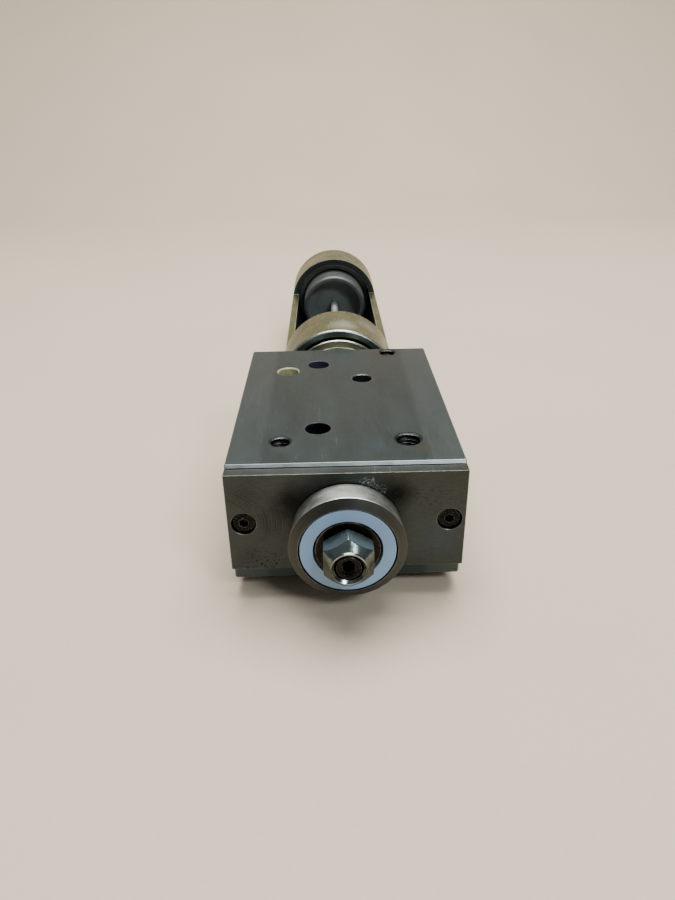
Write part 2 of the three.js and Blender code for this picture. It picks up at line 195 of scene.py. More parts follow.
def piece(name, bm, body, node, slot, *materials, smooth=40):
    made = asObject(name, bm)
    for material in materials:
        made.data.materials.append(material)
    for polygon in made.data.polygons:
        polygon.use_smooth = True
    made.data.set_sharp_from_angle(angle=math.radians(smooth))
    weighted = made.modifiers.new("weightedNormals", "WEIGHTED_NORMAL")
    weighted.keep_sharp = True
    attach(made, body)
    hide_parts(node)
    return made


# ---- shader helpers

def feed(tree, node, values):
    for socket, value in values.items():
        if isinstance(value, bpy.types.NodeSocket):
            tree.links.new(value, node.inputs[socket])
        else:
            node.inputs[socket].default_value = value
    return node


def addNode(tree, kind, values=None, **settings):
    made = tree.nodes.new(kind)
    for key, value in settings.items():
        setattr(made, key, value)
    return feed(tree, made, values or {})


def math2(tree, operation, a, b=0.0, clamp=False):
    return addNode(tree, "ShaderNodeMath", {0: a, 1: b}, operation=operation, use_clamp=clamp).outputs[0]


def times(tree, a, b, clamp=False):
    return math2(tree, "MULTIPLY", a, b, clamp)


def ramp(tree, value, low, high, outLow=0.0, outHigh=1.0):
    return addNode(tree, "ShaderNodeMapRange", {"Value": value, "From Min": low, "From Max": high,
                                                "To Min": outLow, "To Max": outHigh}).outputs[0]


def blendColour(tree, amount, a, b, mode="MIX"):
    mix = addNode(tree, "ShaderNodeMix", {0: amount, 6: a, 7: b}, data_type="RGBA", blend_type=mode)
    return mix.outputs[2]


def noise(tree, vector, scale, detail=4.0, rough=0.55, distortion=0.0):
    return addNode(tree, "ShaderNodeTexNoise", {"Vector": vector, "Scale": scale, "Detail": detail,
                                                "Roughness": rough, "Distortion": distortion}).outputs[0]


def stretch(tree, vector, scale=(1, 1, 1), rotation=(0, 0, 0), location=(0, 0, 0)):
    return addNode(tree, "ShaderNodeMapping", {"Vector": vector, "Scale": scale, "Rotation": rotation,
                                               "Location": location}).outputs[0]


def separate(tree, vector):
    return addNode(tree, "ShaderNodeSeparateXYZ", {0: vector}).outputs


def newGroup(name, inputs, outputs):
    # an input without a value of its own is a vector, and the others are numbers
    group = bpy.data.node_groups.new(name, "ShaderNodeTree")
    for label, default in inputs.items():
        kind = "NodeSocketVector" if default is None else "NodeSocketFloat"
        socket = group.interface.new_socket(name=label, in_out="INPUT", socket_type=kind)
        if default is not None:
            socket.default_value = default
    for label in outputs:
        group.interface.new_socket(name=label, in_out="OUTPUT", socket_type="NodeSocketFloat")
    return group, addNode(group, "NodeGroupInput").outputs, addNode(group, "NodeGroupOutput").inputs


def useGroup(tree, group, values):
    made = tree.nodes.new("ShaderNodeGroup")
    made.node_tree = group
    return feed(tree, made, values).outputs


def makeEdgeWear():
    # worn edges and painted edge highlights: bright where the surface turns sharply, broken up by noise
    group, given, result = newGroup("edgeWear", {"Vector": None, "Radius": 0.0003, "Amount": 1.0,
                                                 "Breakup": 0.5}, ["Wear"])
    rounded = addNode(group, "ShaderNodeBevel", {"Radius": given["Radius"]}, samples=4).outputs[0]
    flat = addNode(group, "ShaderNodeNewGeometry").outputs["Normal"]
    facing = addNode(group, "ShaderNodeVectorMath", {0: rounded, 1: flat}, operation="DOT_PRODUCT")
    corner = ramp(group, facing.outputs["Value"], 0.995, 0.86)
    patchy = ramp(group, noise(group, given["Vector"], 0.7, 5.0, 0.65), 0.38, 0.62)
    part = blendValue(group, given["Breakup"], 1.0, patchy)
    wornAndHighlight = times(group, times(group, corner, part), given["Amount"], clamp=True)
    group.links.new(wornAndHighlight, result["Wear"])
    return group


def blendValue(tree, amount, a, b):
    return addNode(tree, "ShaderNodeMix", {0: amount, 2: a, 3: b}, data_type="FLOAT").outputs[0]


def makeScratches():
    # long thin scratches in three directions, from stretched noise
    group, given, result = newGroup("scratches", {"Vector": None, "Scale": 1.0, "Threshold": 0.66}, ["Mask"])
    scaled = addNode(group, "ShaderNodeVectorMath", {0: given["Vector"], 3: given["Scale"]},
                     operation="SCALE").outputs[0]
    total = None
    for angle, shift in ((0.35, 3.1), (-1.1, 17.7), (1.9, 41.3)):
        lane = stretch(group, scaled, scale=(5.2, 0.16, 5.2), rotation=(0, 0, angle),
                       location=(shift, shift, 0))
        fibre = noise(group, lane, 1.0, 2.0, 0.5)
        upper = math2(group, "ADD", given["Threshold"], 0.05)
        line = ramp(group, fibre, given["Threshold"], upper)
        total = line if total is None else math2(group, "MAXIMUM", total, line)
    group.links.new(total, result["Mask"])
    return group


def axisDistance(tree, split):
    across = math2(tree, "POWER", split["X"], 2.0)
    upward = math2(tree, "POWER", split["Z"], 2.0)
    return math2(tree, "SQRT", math2(tree, "ADD", across, upward))


def makeTurning():
    # fine rings round the valve's axis, on faces and barrels alike
    group, given, result = newGroup("turningMarks", {"Vector": None, "Pitch": 6.0}, ["Height", "Band"])
    split = separate(group, given["Vector"])
    reach = axisDistance(group, split)
    rings = addNode(group, "ShaderNodeCombineXYZ", {"X": reach, "Y": split["Y"]}).outputs[0]
    fine = noise(group, rings, given["Pitch"], 3.0, 0.7)
    band = noise(group, rings, 0.55, 2.0, 0.5)
    group.links.new(fine, result["Height"])
    group.links.new(band, result["Band"])
    return group


def makeSpot():
    # soft ragged patch round a centre
    group, given, result = newGroup("spot", {"Vector": None, "Centre": None, "Size": 4.0, "Softness": 0.6},
                                    ["Mask"])
    away = addNode(group, "ShaderNodeVectorMath", {0: given["Vector"], 1: given["Centre"]},
                   operation="DISTANCE").outputs["Value"]
    ragged = times(group, noise(group, given["Vector"], 0.32, 5.0, 0.6), given["Size"])
    half = times(group, given["Size"], 0.5)
    reach = math2(group, "SUBTRACT", math2(group, "ADD", given["Size"], half), ragged)
    inner = times(group, reach, math2(group, "SUBTRACT", 1.0, given["Softness"]))
    group.links.new(ramp(group, away, reach, inner), result["Mask"])
    return group


def makeMillArcs():
    # cutter marks on a flat face, as rings round a centre that may lie off the face
    group, given, result = newGroup("millArcs", {"Vector": None, "Centre": None, "Pitch": 3.0}, ["Height"])
    away = addNode(group, "ShaderNodeVectorMath", {0: given["Vector"], 1: given["Centre"]},
                   operation="SUBTRACT").outputs[0]
    split = separate(group, away)
    rings = addNode(group, "ShaderNodeCombineXYZ", {"X": axisDistance(group, split)}).outputs[0]
    group.links.new(noise(group, rings, given["Pitch"], 2.0, 0.6), result["Height"])
    return group


edgeWear = makeEdgeWear()
scratches = makeScratches()
turningMarks = makeTurning()
spot = makeSpot()
millArcs = makeMillArcs()


def startMaterial(name):
    material = bpy.data.materials.new(name)
    material.use_nodes = True
    tree = material.node_tree
    coords = addNode(tree, "ShaderNodeTexCoord").outputs["Object"]
    return material, tree, tree.nodes["Principled BSDF"], coords


def fromOrigin(tree, coords):
    # millimetres from the valve's origin
    return stretch(tree, coords, scale=(1 / mm,) * 3, location=-valveOrigin / mm)


def endMaterial(tree, shader, colour, rough, height, look):
    bump = addNode(tree, "ShaderNodeBump", {"Strength": look["bump"], "Distance": look["bumpDistance"] * mm,
                                            "Height": height}).outputs[0]
    for value, socket in ((colour, "Base Color"), (rough, "Roughness"), (bump, "Normal")):
        tree.links.new(value, shader.inputs[socket])


def rgb(colour):
    return (*colour, 1.0)


def shade(colour, factor):
    return rgb([c * factor for c in colour])


def spotMask(tree, place, centre, size, softness):
    values = {"Vector": place, "Centre": centre, "Size": size, "Softness": softness}
    return useGroup(tree, spot, values)["Mask"]


# what a metal has unless its own values say otherwise
metalDefaults = {
    "patchStretch": (1, 1, 1), "grain": None, "pitch": 6.0, "bandTint": 0.35, "bandShade": 0.62,
    "grainTint": 0.3, "grainShade": 0.5, "grainRough": 0.06, "sideStrips": None, "stripBlur": 0.8,
    "dashes": (), "dashBlur": 0.07, "dashDepth": 0.8, "arcs": (), "arcDepth": 2.0, "arcTint": 0.85,
    "arcShade": 0.3, "regionBlur": 0.7, "stainsAndShade": (), "squiggles": (), "squiggleBlur": 0.4,
    "squiggleWidth": (0.008, 0.03), "scratchScale": 1.0, "scratchThreshold": 0.7, "scratchAmount": 0.4,
    "scratchDepth": 1.5, "edgeRadius": 0.25, "edgeAmount": 0.8, "edgeBreakup": 0.6, "edgeRough": 0.28,
    "bump": 0.25, "bumpDistance": 0.05, "metallic": 1.0}


def metal(name, values):
    # one metal: patchy colour, grain or turning marks, scratches, stains and painted shade, and worn edges
    # with painted highlights
    look = {**metalDefaults, **values}
    material, tree, shader, coords = startMaterial(name)
    place = fromOrigin(tree, coords)
    patch = ramp(tree, noise(tree, stretch(tree, place, scale=look["patchStretch"]), look["patchScale"],
                             6.0, 0.6), 0.3, 0.7)
    colour = blendColour(tree, patch, rgb(look["base"]), rgb(look["second"]))
    rough = blendValue(tree, patch, *look["rough"])
    if look["grain"]:
        height = noise(tree, stretch(tree, place, scale=look["grain"]), 1.0, 3.0, 0.65)
    else:
        rings = useGroup(tree, turningMarks, {"Vector": place, "Pitch": look["pitch"]})
        height = rings["Height"]
        band = ramp(tree, rings["Band"], 0.35, 0.65, 0.0, look["bandTint"])
        colour = blendColour(tree, band, colour, shade(look["base"], look["bandShade"]))
    grain = ramp(tree, height, 0.25, 0.75, 0.0, look["grainTint"])
    colour = blendColour(tree, grain, colour, shade(look["base"], look["grainShade"]))
    rough = math2(tree, "ADD", rough, ramp(tree, height, 0.3, 0.7, -look["grainRough"], look["grainRough"]))
    if look["sideStrips"]:
        limit, tint, strength = look["sideStrips"]
        across = separate(tree, place)["X"]
        side = ramp(tree, math2(tree, "ABSOLUTE", across), limit - look["stripBlur"],
                    limit + look["stripBlur"], 0.0, strength)
        colour = blendColour(tree, side, colour, rgb(tint))
    for scale, centre, size, low, tint, strength in look["dashes"]:
        region = spotMask(tree, place, centre, size, look["regionBlur"])
        field = noise(tree, stretch(tree, place, scale=scale), 1.0, 2.0, 0.5)
        dash = ramp(tree, field, low, low + look["dashBlur"])
        mask = times(tree, times(tree, region, dash), strength)
        colour = blendColour(tree, mask, colour, rgb(tint))
        height = math2(tree, "SUBTRACT", height, times(tree, mask, look["dashDepth"]))
    for centre, pitch, middle, size, strength in look["arcs"]:
        region = spotMask(tree, place, middle, size, look["regionBlur"])
        ring = useGroup(tree, millArcs, {"Vector": place, "Centre": centre, "Pitch": pitch})["Height"]
        mask = times(tree, region, strength)
        height = blendValue(tree, mask, height, times(tree, ring, look["arcDepth"]))
        dark = times(tree, mask, ramp(tree, ring, 0.42, 0.56, look["arcTint"], 0.0))
        colour = blendColour(tree, dark, colour, shade(look["base"], look["arcShade"]))
    for centre, size, softness, tint, strength in look["stainsAndShade"]:
        mask = times(tree, spotMask(tree, place, centre, size, softness), strength)
        colour = blendColour(tree, mask, colour, rgb(tint))
    for centre, size, scale, strength in look["squiggles"]:
        region = spotMask(tree, place, centre, size, look["squiggleBlur"])
        field = noise(tree, stretch(tree, place, scale=scale), 1.0, 1.0, 0.5)
        offset = math2(tree, "ABSOLUTE", math2(tree, "SUBTRACT", field, 0.5))
        line = ramp(tree, offset, *look["squiggleWidth"], strength, 0.0)
        colour = blendColour(tree, times(tree, line, region), colour, rgb(look["wornAndHighlight"]))
    marks = useGroup(tree, scratches, {"Vector": place, "Scale": look["scratchScale"],
                                       "Threshold": look["scratchThreshold"]})["Mask"]
    marks = times(tree, marks, look["scratchAmount"])
    colour = blendColour(tree, marks, colour, rgb(look["wornAndHighlight"]))
    wearAndHighlightMask = useGroup(tree, edgeWear, {"Vector": place, "Radius": look["edgeRadius"] * mm,
                                     "Amount": look["edgeAmount"], "Breakup": look["edgeBreakup"]})["Wear"]
    colour = blendColour(tree, wearAndHighlightMask, colour, rgb(look["wornAndHighlight"]))
    rough = blendValue(tree, wearAndHighlightMask, rough, look["edgeRough"])
    relief = math2(tree, "SUBTRACT", height, times(tree, marks, look["scratchDepth"]))
    endMaterial(tree, shader, colour, rough, relief, look)
    shader.inputs["Metallic"].default_value = look["metallic"]
    return material


print("materials")

groundSteel = metal("groundSteel", {
    "base": (0.044, 0.061, 0.062), "second": (0.053, 0.07, 0.071), "patchScale": 0.14,
    "patchStretch": (1, 0.25, 1), "rough": (0.38, 0.48), "grain": (11, 0.3, 11), "wornAndHighlight": (0.5, 0.57, 0.6),
    "edgeRadius": 0.3, "bump": 0.12, "scratchScale": 0.8, "scratchThreshold": 0.72,
    "scratchAmount": 0.1, "sideStrips": (17.6, (0.072, 0.091, 0.093), 0.7),
    "dashes": [((0.9, 9, 1), (0, 30, 14.5), 16.0, 0.6, (0.15, 0.16, 0.15), 0.35),
               ((0.5, 6, 1), (-4, 12, 14.5), 12.0, 0.62, (0.13, 0.14, 0.14), 0.3),
               ((7, 7, 7), (2, 33, 14.5), 5.0, 0.66, (0.28, 0.29, 0.28), 0.5)],
    "stainsAndShade": [((7, 7.5, 14.5), 3.2, 0.9, (0.05, 0.075, 0.1), 0.5),
               ((17, 6, 14.5), 2.6, 0.8, (0.075, 0.065, 0.035), 0.55),
               ((13.5, 64.5, 14.5), 4.4, 0.7, (0.05, 0.038, 0.02), 0.7),
               ((1, 60, 14.5), 6.0, 0.95, (0.05, 0.075, 0.08), 0.5),
               ((-13.5, 7, 14.5), 3.4, 0.9, (0.09, 0.095, 0.09), 0.35),
               ((4, 25, 14.5), 14.0, 0.95, (0.046, 0.06, 0.055), 0.5)]})

# a brighter copy of the ground steel for the block's top chamfers: painted highlight
chamferPaintedHighlight = metal("chamferPaintedHighlight", {
    "base": (0.27, 0.3, 0.3), "second": (0.35, 0.38, 0.38), "patchScale": 0.2, "rough": (0.3, 0.4),
    "grain": (0.6, 6, 6), "wornAndHighlight": (0.7, 0.8, 0.85), "edgeRadius": 0.3, "edgeAmount": 0.9,
    "edgeBreakup": 0.4, "bump": 0.15})

portDark = metal("portDark", {
    "base": (0.05, 0.05, 0.07), "second": (0.09, 0.09, 0.11), "patchScale": 0.3, "rough": (0.35, 0.5),
    "grain": (3, 3, 3), "wornAndHighlight": (0.3, 0.3, 0.34), "edgeAmount": 0.4, "scratchAmount": 0.1})

boreThread = metal("boreThread", {
    "base": (0.036, 0.042, 0.041), "second": (0.022, 0.023, 0.02), "patchScale": 0.6, "rough": (0.3, 0.42),
    "grain": (3, 3, 9), "wornAndHighlight": (0.6, 0.66, 0.68), "edgeRadius": 0.12, "edgeAmount": 0.35,
    "scratchAmount": 0.1})

# port P's wall is painted bright: painted light on the lit wall of the hole
borePaintedLight = metal("borePaintedLight", {
    "base": (0.2, 0.215, 0.215), "second": (0.12, 0.125, 0.12), "patchScale": 0.5, "rough": (0.3, 0.42),
    "grain": (3, 3, 9), "wornAndHighlight": (0.85, 0.87, 0.88), "scratchAmount": 0.2})

boreCream = metal("boreCream", {
    "base": (0.55, 0.54, 0.33), "second": (0.12, 0.12, 0.05), "patchScale": 0.5, "rough": (0.45, 0.6),
    "grain": (2, 2, 3), "grainTint": 0.5, "wornAndHighlight": (0.85, 0.85, 0.72), "edgeAmount": 0.5,
    "scratchAmount": 0.1, "metallic": 0.1})

portPurple = metal("portPurple", {
    "base": (0.058, 0.054, 0.092), "second": (0.045, 0.045, 0.07), "patchScale": 0.3, "rough": (0.3, 0.45),
    "grain": (3, 3, 3), "wornAndHighlight": (0.3, 0.3, 0.36), "edgeAmount": 0.4, "scratchAmount": 0.1, "metallic": 0.3})

darkSteel = metal("darkSteel", {
    "base": (0.05, 0.058, 0.052), "second": (0.068, 0.079, 0.076), "patchScale": 0.11, "rough": (0.38, 0.5),
    "grain": (0.35, 6, 7), "grainTint": 0.4, "wornAndHighlight": (0.5, 0.5, 0.47), "edgeAmount": 0.5, "bump": 0.4,
    "scratchScale": 0.7, "scratchThreshold": 0.71, "scratchAmount": 0.12,
    "arcs": [((-26, 0, 2.2), 4.2, (-15.5, -3, 3), 6.0, 0.9), ((-34, 0, -8), 3.6, (-21, -3, 9), 4.6, 0.8),
             ((-26, 0, 2.2), 4.2, (-21.5, -3, -6), 3.5, 0.5)],
    "dashes": [((1.0, 1, 5), (18.5, -3, 7), 6.0, 0.57, (0.02, 0.02, 0.02), 0.75),
               ((0.8, 1, 5), (19, -3, -5.5), 6.0, 0.58, (0.02, 0.02, 0.02), 0.7),
               ((1.6, 1, 2.4), (-18, -3, -8.6), 6.0, 0.56, (0.006, 0.006, 0.006), 0.95),
               ((1.5, 1, 1.5), (12.6, -3, -1), 3.5, 0.66, (0.006, 0.006, 0.006), 0.9),
               ((0.6, 1, 6), (9, -3, 11), 8.0, 0.62, (0.13, 0.13, 0.12), 0.4)],
    # the three dark patches beside and above the collar are partly oil stain and partly painted shade and
    # reflection of the collar
    "stainsAndShade": [((-11.6, -3, 7.5), 5.4, 0.8, (0.012, 0.013, 0.012), 0.9),
               ((10.6, -3, 9), 4.8, 0.8, (0.01, 0.01, 0.01), 0.9),
               ((0, -3, 13), 8.0, 0.9, (0.03, 0.035, 0.035), 0.5),
               ((19, -3, -3), 7.0, 0.9, (0.054, 0.07, 0.09), 0.6)],
    # bright scratch lines beside the collar, partly real scratches and partly a painted glint
    "squiggles": [((4.6, -3, 11.0), 2.2, (1.1, 1, 1.7), 0.8), ((7.0, -3, 9.8), 1.6, (1.4, 1, 1.2), 0.8)]})

# a darker copy of the turned steel for the collar's front face: painted shade
collarFacePaintedShade = metal("collarFacePaintedShade", {
    "base": (0.06, 0.062, 0.055), "second": (0.075, 0.077, 0.07), "patchScale": 0.2, "rough": (0.4, 0.5),
    "pitch": 4.0, "grainTint": 0.25, "wornAndHighlight": (0.6, 0.61, 0.6), "edgeRadius": 0.2, "edgeAmount": 0.4,
    "bump": 0.15, "scratchAmount": 0.12})

turnedSteel = metal("turnedSteel", {
    "base": (0.5, 0.52, 0.48), "second": (0.62, 0.635, 0.6), "patchScale": 0.16, "rough": (0.45, 0.56),
    "pitch": 5.0, "grainTint": 0.2, "wornAndHighlight": (0.85, 0.85, 0.82), "edgeRadius": 0.3, "edgeAmount": 0.5,
    "bump": 0.1, "scratchAmount": 0.2,
    # the dark patches on both sides and underneath are painted shade round the lit top of the barrel
    "stainsAndShade": [((13, -7, 0), 17.0, 0.8, (0.035, 0.034, 0.028), 0.95),
               ((-13, -7, 0), 17.0, 0.8, (0.035, 0.034, 0.028), 0.95),
               ((0, -7, -12), 12.0, 0.9, (0.06, 0.055, 0.045), 0.8)]})

# the bright arcs on its rim come through the edge mask: painted highlight
tappetSteel = metal("tappetSteel", {
    "base": (0.017, 0.015, 0.013), "second": (0.008, 0.0075, 0.007), "patchScale": 0.5,
    "rough": (0.25, 0.4), "pitch": 4.0, "wornAndHighlight": (0.75, 0.7, 0.62), "edgeRadius": 0.4,
    "edgeBreakup": 0.8, "bump": 0.3, "scratchAmount": 0.1})

zincPlate = metal("zincPlate", {
    "base": (0.3, 0.37, 0.37), "second": (0.24, 0.285, 0.265), "patchScale": 0.3, "rough": (0.13, 0.22),
    "grain": (1.2, 1.2, 1.2), "wornAndHighlight": (0.8, 0.87, 0.88), "edgeRadius": 0.15, "edgeAmount": 0.35,
    "bump": 0.12, "scratchScale": 1.6, "scratchAmount": 0.2,
    # the dark olive patches on both sides of the nut are painted shade with a yellowish zinc tint
    "stainsAndShade": [((5.5, -15, -1.5), 5.4, 0.5, (0.03, 0.031, 0.019), 1.0),
               ((-5.5, -15, -1.5), 5.4, 0.5, (0.04, 0.044, 0.028), 1.0)]})

zincFlats = metal("zincFlats", {
    "base": (0.21, 0.28, 0.31), "second": (0.17, 0.22, 0.22), "patchScale": 0.3, "rough": (0.42, 0.52),
    "grain": (1.2, 1.2, 1.2), "wornAndHighlight": (0.8, 0.9, 0.94), "edgeRadius": 0.15, "edgeAmount": 0.5,
    "bump": 0.12, "scratchScale": 1.6, "scratchAmount": 0.3,
    # the dark olive patches on the side flats are painted shade with a yellowish zinc tint
    "stainsAndShade": [((7, -13, -2), 5.5, 0.5, (0.06, 0.06, 0.035), 0.9),
               ((-7, -13, -2), 5.5, 0.5, (0.065, 0.068, 0.04), 0.9)]})

# edges worn bare, painted bright as a highlight
bareRimAndHighlight = metal("bareRimAndHighlight", {
    "base": (0.6, 0.68, 0.67), "second": (0.2, 0.24, 0.2), "patchScale": 0.6, "rough": (0.24, 0.36),
    "pitch": 4.0, "wornAndHighlight": (0.9, 0.95, 0.95), "edgeRadius": 0.3, "bump": 0.15})

yellowZinc = metal("yellowZinc", {
    "base": (0.18, 0.18, 0.072), "second": (0.098, 0.145, 0.08), "patchScale": 0.24,
    "patchStretch": (1, 0.6, 1), "rough": (0.32, 0.44), "grain": (2.5, 1.5, 2.5), "grainTint": 0.5,
    "wornAndHighlight": (0.85, 0.9, 0.88), "edgeRadius": 0.5, "edgeAmount": 1.0, "edgeBreakup": 0.35, "bump": 0.2,
    "scratchScale": 0.8, "scratchThreshold": 0.68, "scratchAmount": 0.35,
    "stainsAndShade": [((2, 82, 18), 6.0, 0.8, (0.52, 0.56, 0.5), 0.6),
               ((10, 88, 15), 5.0, 0.8, (0.42, 0.36, 0.4), 0.5),
               ((-9, 180, 14), 9.0, 0.8, (0.42, 0.33, 0.2), 0.6)]})

# a darker bluish steel for the tube's bore
darkBore = metal("darkBore", {
    "base": (0.05, 0.068, 0.085), "second": (0.06, 0.075, 0.08), "patchScale": 0.2, "rough": (0.3, 0.45),
    "pitch": 3.0, "wornAndHighlight": (0.5, 0.55, 0.6), "edgeRadius": 0.35, "edgeAmount": 0.5, "edgeBreakup": 0.5,
    "bump": 0.2})

cutFace = metal("cutFace", {
    "base": (0.22, 0.26, 0.23), "second": (0.15, 0.18, 0.16), "patchScale": 0.3, "rough": (0.3, 0.45),
    "pitch": 3.0, "wornAndHighlight": (0.8, 0.88, 0.88), "edgeRadius": 0.35, "edgeAmount": 1.0, "edgeBreakup": 0.3,
    # the dark stain at the window's rear end is painted shade
    "bump": 0.2, "stainsAndShade": [((0, 172, 14), 30.0, 0.4, (0.03, 0.042, 0.052), 0.85)]})

neckZinc = metal("neckZinc", {
    "base": (0.12, 0.115, 0.055), "second": (0.075, 0.08, 0.05), "patchScale": 0.25, "rough": (0.32, 0.45),
    "pitch": 3.0, "wornAndHighlight": (0.85, 0.88, 0.8), "edgeRadius": 0.4, "edgeAmount": 1.0, "edgeBreakup": 0.3,
    "bump": 0.3})

brightSteel = metal("brightSteel", {
    "base": (0.9, 0.93, 0.92), "second": (0.85, 0.88, 0.87), "patchScale": 0.2, "rough": (0.4, 0.5),
    "pitch": 4.0, "grainTint": 0.1, "wornAndHighlight": (0.85, 0.86, 0.86), "edgeAmount": 0.5, "bump": 0.05})

blackSteel = metal("blackSteel", {
    "base": (0.105, 0.115, 0.112), "second": (0.135, 0.145, 0.14), "patchScale": 0.25, "rough": (0.4, 0.52),
    "pitch": 3.0, "wornAndHighlight": (0.24, 0.25, 0.25), "edgeRadius": 0.35, "edgeBreakup": 0.3, "bump": 0.15,
    "scratchAmount": 0.15, "metallic": 0.6})

# a paler copy of the black steel for the plunger's recess: painted light against its shade
cupPaintedLight = metal("cupPaintedLight", {
    "base": (0.15, 0.17, 0.155), "second": (0.19, 0.205, 0.185), "patchScale": 0.25, "rough": (0.5, 0.65),
    "pitch": 3.0, "wornAndHighlight": (0.3, 0.32, 0.32), "edgeAmount": 0.4, "bump": 0.15, "scratchAmount": 0.1,
    "metallic": 0.3})

screwBlack = metal("screwBlack", {
    "base": (0.008, 0.008, 0.008), "second": (0.015, 0.0145, 0.013), "patchScale": 0.6,
    "rough": (0.2, 0.32), "pitch": 5.0, "wornAndHighlight": (0.55, 0.55, 0.54), "edgeRadius": 0.15,
    "edgeAmount": 0.5, "edgeBreakup": 0.9, "bump": 0.3})


def plastic(name, look):
    material, tree, shader, coords = startMaterial(name)
    place = fromOrigin(tree, coords)
    rings = useGroup(tree, turningMarks, {"Vector": place, "Pitch": look["pitch"]})
    patch = ramp(tree, noise(tree, place, look["patchScale"], 5.0, 0.6), 0.3, 0.7)
    colour = blendColour(tree, patch, rgb(look["base"]), rgb(look["second"]))
    grime = ramp(tree, noise(tree, place, 0.9, 6.0, 0.7), 0.6, 0.72, 0.0, look["grime"])
    colour = blendColour(tree, grime, colour, rgb(look["dirt"]))
    wearAndHighlightMask = useGroup(tree, edgeWear, {"Vector": place, "Radius": look["edgeRadius"] * mm,
                                     "Amount": look["edgeAmount"], "Breakup": 0.5})["Wear"]
    colour = blendColour(tree, wearAndHighlightMask, colour, rgb(look["wornAndHighlight"]))
    rough = ramp(tree, rings["Height"], 0.3, 0.7, *look["rough"])
    endMaterial(tree, shader, colour, rough, rings["Height"], look)
    return material


paleNylon = plastic("paleNylon", {
    "base": (0.2, 0.345, 0.55), "second": (0.235, 0.385, 0.59), "patchScale": 0.25,
    "dirt": (0.3, 0.33, 0.38), "grime": 0.25, "wornAndHighlight": (0.72, 0.78, 0.86), "rough": (0.38, 0.5),
    "pitch": 6.0, "edgeRadius": 0.25, "edgeAmount": 0.5, "bump": 0.15, "bumpDistance": 0.05})

blackRubber = plastic("blackRubber", {
    "base": (0.02, 0.02, 0.02), "second": (0.03, 0.03, 0.03), "patchScale": 0.5,
    "dirt": (0.07, 0.06, 0.05), "grime": 0.3, "wornAndHighlight": (0.06, 0.06, 0.06), "rough": (0.55, 0.7),
    "pitch": 2.0, "edgeRadius": 0.25, "edgeAmount": 0.5, "bump": 0.15, "bumpDistance": 0.05})

# ---- the block

print("block")

blockSpec = {"chamfer": 0.6, "sideChamfer": 0.25, "edge": 0.06, "longEdge": 10, "past": 5, "below": 3,
             "boreR": 6.0, "collarBoreR": 10.0, "neckBoreR": 12.0, "chamberR": 8.9, "chamberWidth": 6.0,
             "portR": {"port_a": 2.95, "port_t": 2.9}, "portP": (5.7, 22.9, 2.6), "portFloor": 5.0,
             "portMouths": (0.06, 0.08, 0.22), "throughR": 2.75, "throughMouth": 0.3, "inset": 11.0,
             "frontY": 10.4, "rearSetback": 17.0, "cornerSetback": 3.6, "screwHoleR": 1.55,
             "smallTap": {"r": 2.1, "pitch": 0.8, "depth": 0.38, "mouth": 0.1},
             "largeTap": {"r": 2.65, "pitch": 0.8, "depth": 0.42, "mouth": 0.15},
             "drillTip": 0.6, "threadCrest": (0.45, 0.55), "frontTapDepth": 12, "cornerTapDepth": 8,
             "wallReach": {"portP": 3.2, "through": 3.2, "smallTap": 2.9, "largeTap": 3.5},
             "wallMargin": 0.3, "skin": 0.05}


def verticalHole(x, y, r, floor, top, mouth):
    return turn([(0, floor), (r, floor), (r, top - mouth), (r + mouth + 1, top + 1), (0, top + 1)],
                steps=64, spot=(x, y, 0), along=(0, 0, 1))


def tappedHole(x, y, floor, top, tap, spec):
    r, pitch, depth, mouth = tap["r"], tap["pitch"], tap["depth"], tap["mouth"]
    profile = [(r, 0)] + [(r + depth, pitch * part) for part in spec["threadCrest"]]
    outline = [(0, floor - r * spec["drillTip"]), (r, floor)]
    outline += threadTurns(floor + pitch, top - mouth - pitch, pitch, profile)
    outline += [(r, top - mouth - depth * 0.6), (r + depth + mouth, top),
                (r + depth + mouth + 1, top + 1), (0, top + 1)]
    return turn(outline, steps=64, spot=(x, y, 0), along=(0, 0, 1))


